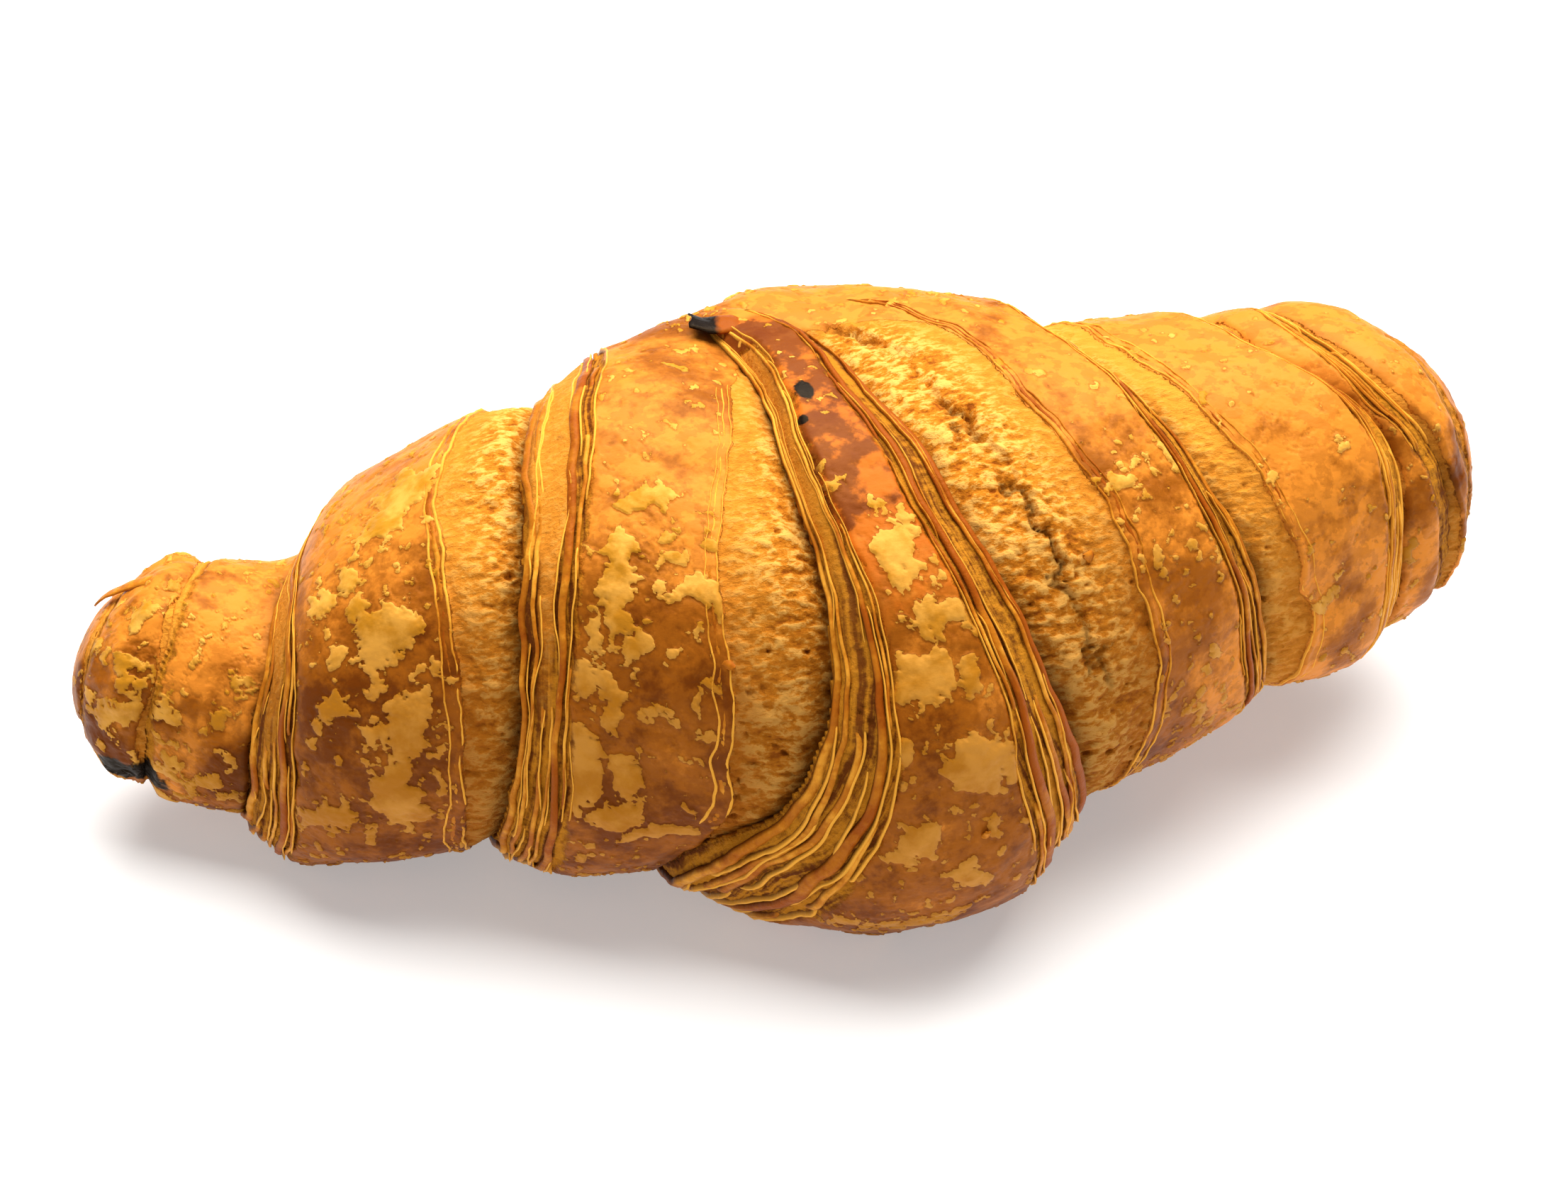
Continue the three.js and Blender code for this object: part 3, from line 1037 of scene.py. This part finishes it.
@dataclass
class Flakes:
    """Every loose flake on the crust."""

    crust: Crust
    material: bpy.types.Material
    thickness: float = 0.22  # mm

    def _one(self, number: int, flake: Flake) -> bpy.types.Object:
        """Builds one flake, its root sunk in the crust and its tip curled up.

        Args:
            number: which flake it is, which names it and picks its outline.
            flake: its place and shape.

        Returns:
            The piece.
        """
        roll = self.crust.roll
        sheet = bmesh.new()
        bmesh.ops.create_grid(sheet, x_segments=14, y_segments=8, size=0.5)
        mesh = bpy.data.meshes.new(f"flake_{number}")
        sheet.to_mesh(mesh)
        out, side = places(mesh)[:, 0] + 0.5, places(mesh)[:, 1]
        spots = places(mesh) * 9.0 + 11.0 * number
        out = out + 0.16 * Grain(31).rough(spots, 3.2, 3) * out
        side = side * (1 + (flake.tip - 1) * out**1.3) + 0.2 * Grain(32).rough(spots, 3.0, 3) * side
        ahead, aside = out * flake.length, side * flake.width
        heading = math.radians(flake.heading)
        along = flake.along + (ahead * math.cos(heading) - aside * math.sin(heading)) / roll.half_span
        per_degree = np.radians(roll.radius(along))
        turn = flake.turn + (ahead * math.sin(heading) + aside * math.cos(heading)) / per_degree
        _, ground, _ = self.crust.ground(along, turn)
        start = float(ground[np.argmin(out)])
        lift = np.maximum(ground, start - 0.6) * 0.5 + start * 0.5
        lift = lift - 0.35 + 0.5 * smoothstep(out, 0, 0.3) + flake.curl * out**2 - 0.5 * (2 * side) ** 2
        points = (roll.point(along, turn, lift) + roll.offset()) * MM
        mesh.vertices.foreach_set("co", points.ravel())
        add_field(mesh, "pale", flake.pale - 0.5 * (out < 0.15))
        add_field(mesh, "top", np.ones_like(out) * 0.8)
        add_field(mesh, "char", flake.burnt * smoothstep(out, 0.3, 0.8))
        sheet.clear()
        sheet.from_mesh(mesh)
        bmesh.ops.solidify(sheet, geom=sheet.faces[:], thickness=self.thickness * MM)
        bmesh.ops.recalc_face_normals(sheet, faces=sheet.faces[:])
        sheet.to_mesh(mesh)
        sheet.free()
        return finished_piece(mesh.name, mesh, self.material)

    def build(self) -> list[bpy.types.Object]:
        """Builds the flakes, one piece each."""
        return [self._one(number, flake) for number, flake in enumerate(FLAKES)]


# ---------------------------------------------------------------------------------------------
# Finishes
# ---------------------------------------------------------------------------------------------


def linear(hex_colour: str) -> tuple[float, float, float, float]:
    """Turns an sRGB hex colour into the linear colour that a shader takes."""
    parts = [int(hex_colour[i:i + 2], 16) / 255 for i in (1, 3, 5)]
    return (*(p / 12.92 if p <= 0.04045 else ((p + 0.055) / 1.055) ** 2.4 for p in parts), 1.0)


def per(size: float) -> float:
    """Turns the size of a pattern, mm, into the scale that a texture node takes."""
    return 1 / (size * MM)


def add_node(
    tree: bpy.types.NodeTree, kind: str, sockets: dict | tuple, out: int | str = 0, **settings: object
) -> bpy.types.NodeSocket | None:
    """Adds a node.

    Args:
        tree: the tree to add it to.
        kind: its type, without the "ShaderNode" that starts each.
        sockets: what goes into its inputs, by name or number, or just in order: a hex colour, a
            value, or an output to link.
        out: which output is wanted.
        settings: its own settings.

    Returns:
        The output, or nothing from a node that has none.
    """
    node = tree.nodes.new("ShaderNode" + kind)
    for key, value in settings.items():
        setattr(node, key, value)
    pairs = sockets.items() if isinstance(sockets, dict) else enumerate(sockets)
    for key, value in pairs:
        if isinstance(value, bpy.types.NodeSocket):
            tree.links.new(value, node.inputs[key])
        else:
            node.inputs[key].default_value = linear(value) if isinstance(value, str) else value
    return node.outputs[out] if node.outputs else None


class Passing(Enum):
    """How one colour passes into another."""

    SOFT = "SMOOTHSTEP"
    STRAIGHT = "LINEAR"


def overlay(
    add: partial, value: bpy.types.NodeSocket, low: float, high: float,
    under: str | bpy.types.NodeSocket, over: str | bpy.types.NodeSocket, passing: Passing = Passing.SOFT,
) -> bpy.types.NodeSocket:
    """Lays one colour over another where a value is high.

    Args:
        add: adds a node to the material's tree.
        value: what decides between them.
        low: up to here only the colour below shows.
        high: from here on only the colour over it shows.
        under: the colour below.
        over: the colour over it.
        passing: how one passes into the other.

    Returns:
        The blended colour.
    """
    limits = {"Value": value, "From Min": low, "From Max": high}
    share = add("MapRange", limits, interpolation_type=passing.value)
    return add("Mix", {0: share, 6: under, 7: over}, 2, data_type="RGBA")


def empty_material(name: str) -> bpy.types.Material:
    """Makes a material with no nodes in its tree.

    Args:
        name: what it is made of.

    Returns:
        The material.
    """
    material = bpy.data.materials.new(name)
    material.use_nodes = True
    material.node_tree.nodes.clear()
    return material


BUTTER_GLOSS = (1.0, 0.62, 0.25, 1.0)  # browned butter tints the gloss, so it isn't white


@dataclass(frozen=True)
class BakedCrust:
    """Laminated butter dough, brushed with egg and baked.

    The egg gives the eye a satin brown skin with crisp stains, and the steam under it pale flat
    patches where it has lifted. Where the laps have torn apart the crumb is dry, matt and golden.
    """

    name: str = "baked_laminated_dough"
    fleck: float = 0.909  # mm across the flecks in the skin and the ragged edges of its patches
    blotch: float = 4.35  # mm across its browner blotches
    stain: float = 2.38  # mm across the stains that the egg leaves
    layer: float = 0.4  # mm from one line of the cut layers to the next
    layer_run: float = 20.0  # mm along such a line before it changes much
    pore: float = 0.6667  # mm across the crumb's pores; coarser than the finest, to show at all
    skin_rough: float = 0.46
    torn_rough: float = 0.3  # how much rougher the crumb and the cut layers are
    golden: str = "#DA842A"
    brown: str = "#9A5410"
    deep: str = "#6C3206"
    ruddy: str = "#BE6016"
    scorch: str = "#6A2A0A"
    char: str = "#0C0706"
    skin_pale: str = "#E4A644"
    skin_tan: str = "#BE801C"
    crumb_pale: str = "#F2B457"
    crumb_gold: str = "#CC7A1A"
    # painted shade down in the crumb's pits
    crumb_pit_shade: str = "#8E450A"
    crust_edge: str = "#BE6A18"
    fold: str = "#E39430"
    shade: str = "#6E3806"
    layer_gold: str = "#BE7A1C"
    # painted shade between the cut sheets
    layer_gap_shade: str = "#64300A"
    # painted shade in the creases
    crease_shade: str = "#431D03"

    def build(self) -> bpy.types.Material:
        """Builds the material.

        Returns:
            The material.
        """
        material = empty_material(self.name)
        add = partial(add_node, material.node_tree)
        mix = {"out": 2, "data_type": "RGBA"}
        soft = {"interpolation_type": "SMOOTHSTEP"}
        place = add("TexCoord", {}, "Object")
        fine, mid, stain = (
            add("TexNoise", {"Vector": place, "Scale": per(size), "Detail": detail, "Roughness": fade})
            for size, detail, fade in (
                (self.fleck, 5.0, 0.62), (self.blotch, 5.0, 0.6), (self.stain, 6.0, 0.6),
            )
        )
        mask = {
            name: add("Attribute", {}, "Fac", attribute_name=name)
            for name in (
                "crumb", "stripe", "across", "filling", "crease", "blister", "toast_and_shade", "side",
                "open", "horns", "sponge", "ruddy", "char",
            )
        }

        # Skin: brown where the oven caught it and where painted shade falls low on the sides, golden where
        # neither does, with crisp-edged stains.
        toast_and_shade = add("Math", (mid, 1.5, mask["toast_and_shade"]), operation="MULTIPLY_ADD")
        toast_and_shade = add("Math", (fine, 0.5, toast_and_shade), operation="MULTIPLY_ADD")
        skin = overlay(add, toast_and_shade, 1.15, 1.7, self.golden, self.brown)
        skin = overlay(add, toast_and_shade, 1.7, 2.1, skin, self.deep)
        crisp = add("MapRange", {"Value": stain, "From Min": 0.5, "From Max": 0.54}, **soft)
        share = add("Math", (crisp, 0.24), operation="MULTIPLY")
        skin = add("Mix", {0: share, 6: skin, 7: self.deep}, **mix)
        share = add("Math", (stain, 0.6), operation="MULTIPLY")
        share = add("Math", (mid, 0.6, share), operation="MULTIPLY_ADD")
        share = add("Math", (mask["ruddy"], 0.14, share), operation="MULTIPLY_ADD")
        scorched = overlay(add, share, 0.76, 0.88, self.ruddy, self.scorch)
        share = add("MapRange", {"Value": mask["ruddy"], "From Min": 0.15, "From Max": 0.85}, **soft)
        share = add("Math", (share, 0.85), operation="MULTIPLY")
        skin = add("Mix", {0: share, 6: skin, 7: scorched}, **mix)

        # Blisters: thin skins, paler than the crust that they have lifted from.
        edge = add("Math", (fine, 0.8, mask["blister"]), operation="MULTIPLY_ADD")
        pale = overlay(add, mid, 0.38, 0.62, self.skin_pale, self.skin_tan)
        shadow = add("MapRange", {"Value": edge, "From Min": 0.1, "From Max": 0.36, "To Max": 0.35})
        skin = add("Mix", {0: shadow, 6: skin, 7: self.deep}, **mix)
        lifted = add("MapRange", {"Value": edge, "From Min": 0.37, "From Max": 0.43}, **soft)
        # Painted shade browns the blisters low on the sides.
        share = add("Math", (mask["side"], 0.55), operation="MULTIPLY")
        pale = add("Mix", {0: share, 6: pale, 7: self.brown}, **mix)
        skin = add("Mix", {0: lifted, 6: skin, 7: pale}, **mix)

        # Cut layers: crumbly, with painted shade between the sheets, and thin lines that run with the
        # edge.
        run = per(self.layer_run)
        drawn = add("Math", (mask["across"], 1 / (self.layer * run)), operation="MULTIPLY")
        lines = add(
            "TexNoise", {"Vector": place, "W": drawn, "Scale": run, "Detail": 3.0},
            noise_dimensions="4D",
        )
        lines = add("Math", (fine, 0.5, lines), operation="MULTIPLY_ADD")
        layers = overlay(add, lines, 0.62, 0.85, self.layer_gap_shade, self.layer_gold)

        # Crumb: a fine sponge, paler on its ridges, with painted shade down in its pits.
        strands = add("VectorMath", (place, (0.5, 1.0, 1.0)), operation="MULTIPLY")
        grain = add(
            "TexNoise", {"Vector": strands, "Scale": per(self.pore), "Detail": 5.0, "Roughness": 0.66}
        )
        sponge = add("Math", (grain, 2.4, mask["sponge"]), operation="MULTIPLY_ADD")
        crumb = overlay(add, sponge, 0.7, 1.2, self.crumb_pit_shade, self.crumb_gold)
        crumb = overlay(add, sponge, 1.15, 1.55, crumb, self.crumb_pale)

        # It is browner by the skin, golden in the folds that stay shut, and shaded low down.
        share = add("MapRange", {"Value": mask["crumb"], "From Max": 3.2, "To Min": 0.6, "To Max": 0.0})
        crumb = add("Mix", {0: share, 6: crumb, 7: self.crust_edge}, **mix)
        closed = add("Math", (mask["open"], -0.5, 0.5), operation="MULTIPLY_ADD")
        closed = add("Math", (mask["horns"], 0.45, closed), operation="MULTIPLY_ADD")
        crumb = add("Mix", {0: closed, 6: crumb, 7: self.fold}, **mix)
        share = add("Math", (mask["side"], 0.5), operation="MULTIPLY")
        crumb = add("Mix", {0: share, 6: crumb, 7: self.shade}, **mix)
        layers = add("Mix", {0: mask["filling"], 6: layers, 7: crumb}, **mix)

        # Where each of them lies, then painted shade in the creases and whatever is burnt.
        reach = add("Math", (fine, 1.0, mask["stripe"]), operation="MULTIPLY_ADD")
        in_stripe = add("MapRange", {"Value": reach, "From Min": 0.3, "From Max": 0.8}, **soft)
        reach = add("Math", (fine, 0.8, mask["crumb"]), operation="MULTIPLY_ADD")
        in_crumb = add("MapRange", {"Value": reach, "From Min": 0.34, "From Max": 0.46}, **soft)
        colour = add("Mix", {0: in_stripe, 6: skin, 7: layers}, **mix)
        colour = add("Mix", {0: in_crumb, 6: colour, 7: crumb}, **mix)
        share = add("Math", (mask["crease"], 0.8), operation="MULTIPLY")
        colour = add("Mix", {0: share, 6: colour, 7: self.crease_shade}, **mix)
        reach = add("Math", (fine, 0.4, mask["char"]), operation="MULTIPLY_ADD")
        colour = overlay(add, reach, 0.5, 0.7, colour, self.char)

        # Relief: a fine grain on the skin, a coarser one on the crumb, and the blisters' edges.
        torn = add("Math", (in_crumb, in_stripe), operation="MAXIMUM")
        depth = add("Math", (torn, 0.75, 0.13), operation="MULTIPLY_ADD")
        height = add("Math", (grain, depth), operation="MULTIPLY")
        height = add("Math", (lifted, 0.1, height), operation="MULTIPLY_ADD")
        bump = add("Bump", {"Height": height, "Strength": 0.8, "Distance": 0.6 * MM})
        rough = add("Math", (torn, self.torn_rough, self.skin_rough), operation="MULTIPLY_ADD")
        shader = add(
            "BsdfPrincipled",
            {
                "Base Color": colour, "Roughness": rough, "Normal": bump,
                "Specular IOR Level": 0.14, "Specular Tint": BUTTER_GLOSS,
            },
        )
        add("OutputMaterial", {"Surface": shader})
        return material


@dataclass(frozen=True)
class DoughSheet:
    """Dough rolled thin, layered with butter and baked until the sheets came apart.

    Seen edge on they give the eye fine lines, brown and leathery or dry and pale, over dark gaps, with
    painted shade towards each sheet's foot.
    """

    name: str = "dough_sheets"
    fleck: float = 1.111  # mm across the flecks on them
    rough: float = 0.42
    pale: str = "#EEA83A"
    tan: str = "#C4781C"
    brown: str = "#984A0E"
    # painted shade on each sheet's lower side
    foot: str = "#4E2407"
    char: str = "#140D0B"

    def build(self) -> bpy.types.Material:
        """Builds the material.

        Returns:
            The material.
        """
        material = empty_material(self.name)
        add = partial(add_node, material.node_tree)
        place = add("TexCoord", {}, "Object")
        mask = {
            name: add("Attribute", {}, "Fac", attribute_name=name) for name in ("pale", "top", "char")
        }
        fine = add(
            "TexNoise", {"Vector": place, "Scale": per(self.fleck), "Detail": 4.0, "Roughness": 0.6}
        )
        dry = add("Math", (fine, 0.7, mask["pale"]), operation="MULTIPLY_ADD")
        colour = overlay(add, dry, 0.5, 0.92, self.brown, self.tan, Passing.STRAIGHT)
        colour = overlay(add, dry, 0.85, 1.2, colour, self.pale, Passing.STRAIGHT)
        # Painted shade darkens each sheet's lower side, towards its foot.
        colour = overlay(add, mask["top"], 0.0, 0.6, self.foot, colour, Passing.STRAIGHT)
        reach = add("Math", (fine, 0.4, mask["char"]), operation="MULTIPLY_ADD")
        colour = overlay(add, reach, 0.5, 0.8, colour, self.char, Passing.STRAIGHT)
        bump = add("Bump", {"Height": fine, "Strength": 0.6, "Distance": 0.3 * MM})
        shader = add(
            "BsdfPrincipled",
            {
                "Base Color": colour, "Roughness": self.rough, "Normal": bump,
                "Specular IOR Level": 0.1, "Specular Tint": BUTTER_GLOSS,
            },
        )
        add("OutputMaterial", {"Surface": shader})
        return material


@dataclass(frozen=True)
class MattPaper:
    """Matt white paper, which gives the eye an even pale ground with only a soft shadow on it."""

    name: str = "matt_white_paper"
    grey: float = 0.66
    glow: float = 0.34  # makes up for what the paper doesn't give back, so that it stays white

    def build(self) -> bpy.types.Material:
        """Builds the material.

        Returns:
            The material.
        """
        material = empty_material(self.name)
        add = partial(add_node, material.node_tree)
        shader = add(
            "BsdfPrincipled",
            {
                "Base Color": (self.grey, self.grey, self.grey, 1.0), "Roughness": 0.9,
                "Emission Color": (1.0, 1.0, 1.0, 1.0), "Emission Strength": self.glow,
            },
        )
        add("OutputMaterial", {"Surface": shader})
        return material


# ---------------------------------------------------------------------------------------------
# Studio
# ---------------------------------------------------------------------------------------------


@dataclass
class Studio:
    """A plain pale floor, soft lights and the camera."""

    azimuth: float = -15.0  # degrees; the camera stands in front, to the left
    elevation: float = 35.0  # degrees above the floor
    distance: float = 430.0  # mm
    lens: float = 86.0  # mm, with the film's width below
    film: float = 36.0
    aim: tuple[float, float, float] = (5.3, 29.7, 5.0)  # mm
    floor_half_side: float = 0.45  # m
    sky_seen: float = 1.0  # how bright the surroundings are to the camera
    sky_light: float = 0.18  # and as light on the croissant

    def camera(self) -> None:
        """Sets up the camera, looking down at the front from the left."""
        data = bpy.data.cameras.new("camera")
        data.lens = self.lens
        data.sensor_width = self.film
        data.clip_start = 0.01
        camera = bpy.data.objects.new("camera", data)
        a, e = math.radians(self.azimuth), math.radians(self.elevation)
        back = Vector((math.sin(a) * math.cos(e), -math.cos(a) * math.cos(e), math.sin(e)))
        camera.location = (Vector(self.aim) + back * self.distance) * MM
        camera.rotation_euler = back.to_track_quat("Z", "Y").to_euler()
        bpy.context.scene.collection.objects.link(camera)
        bpy.context.scene.camera = camera

    def light(
        self, name: str, place: tuple[float, float, float], size: float, power: float,
        colour: tuple[float, float, float],
    ) -> None:
        """Adds a square soft light that faces the croissant.

        Args:
            name: the light's name.
            place: where it stands, m.
            size: its side, m.
            power: watts.
            colour: linear red, green and blue.
        """
        data = bpy.data.lights.new(name, "AREA")
        data.size = size
        data.energy = power
        data.color = colour
        lamp = bpy.data.objects.new(name, data)
        lamp.location = place
        lamp.rotation_euler = Vector(place).to_track_quat("Z", "Y").to_euler()
        bpy.context.scene.collection.objects.link(lamp)

    def surroundings(self) -> None:
        """Sets up white surroundings, which light the croissant less than they show."""
        world = bpy.data.worlds.new("studio")
        world.use_nodes = True
        world.node_tree.nodes.clear()
        add = partial(add_node, world.node_tree)
        seen = add("LightPath", {}, "Is Camera Ray")
        more = self.sky_seen - self.sky_light
        strength = add("Math", (seen, more, self.sky_light), operation="MULTIPLY_ADD")
        sky = add("Background", {"Color": (1.0, 1.0, 1.0, 1.0), "Strength": strength})
        add("OutputWorld", {"Surface": sky})
        bpy.context.scene.world = world
        bpy.context.scene.view_settings.view_transform = "Standard"

    def floor(self) -> None:
        """Lays the floor."""
        sheet = bmesh.new()
        bmesh.ops.create_grid(sheet, x_segments=1, y_segments=1, size=self.floor_half_side)
        mesh = bpy.data.meshes.new("floor")
        sheet.to_mesh(mesh)
        sheet.free()
        mesh.materials.append(MattPaper().build())
        floor = bpy.data.objects.new("floor", mesh)
        bpy.context.scene.collection.objects.link(floor)

    def build(self) -> None:
        """Sets up the whole studio."""
        self.camera()
        self.light("overhead", (0.12, 0.2, 0.75), 0.95, 20.0, (1.0, 0.98, 0.95))
        self.light("front_fill", (-0.4, -0.7, 0.6), 0.8, 0.8, (1.0, 0.99, 0.97))
        self.surroundings()
        self.floor()


def main() -> None:
    """Builds the studio and the croissant, and reports each of its pieces."""
    logging.basicConfig(level=logging.INFO, format="%(name)s: %(message)s")
    Studio().build()
    sheets = DoughSheet().build()
    crust = Crust(Roll(), BakedCrust().build())
    pieces = [
        *crust.build(),
        CutSheets("left_cut_sheets", crust, crust.roll.left, 1.0, sheets, last_turn=-860.0).build(),
        CutSheets("right_cut_sheets", crust, crust.roll.right, -1.0, sheets).build(),
        *Flakes(crust, sheets).build(),
    ]
    for piece in pieces:
        LOG.info("%s: %d faces", piece.name, len(piece.data.polygons))


if __name__ == "__main__":
    main()
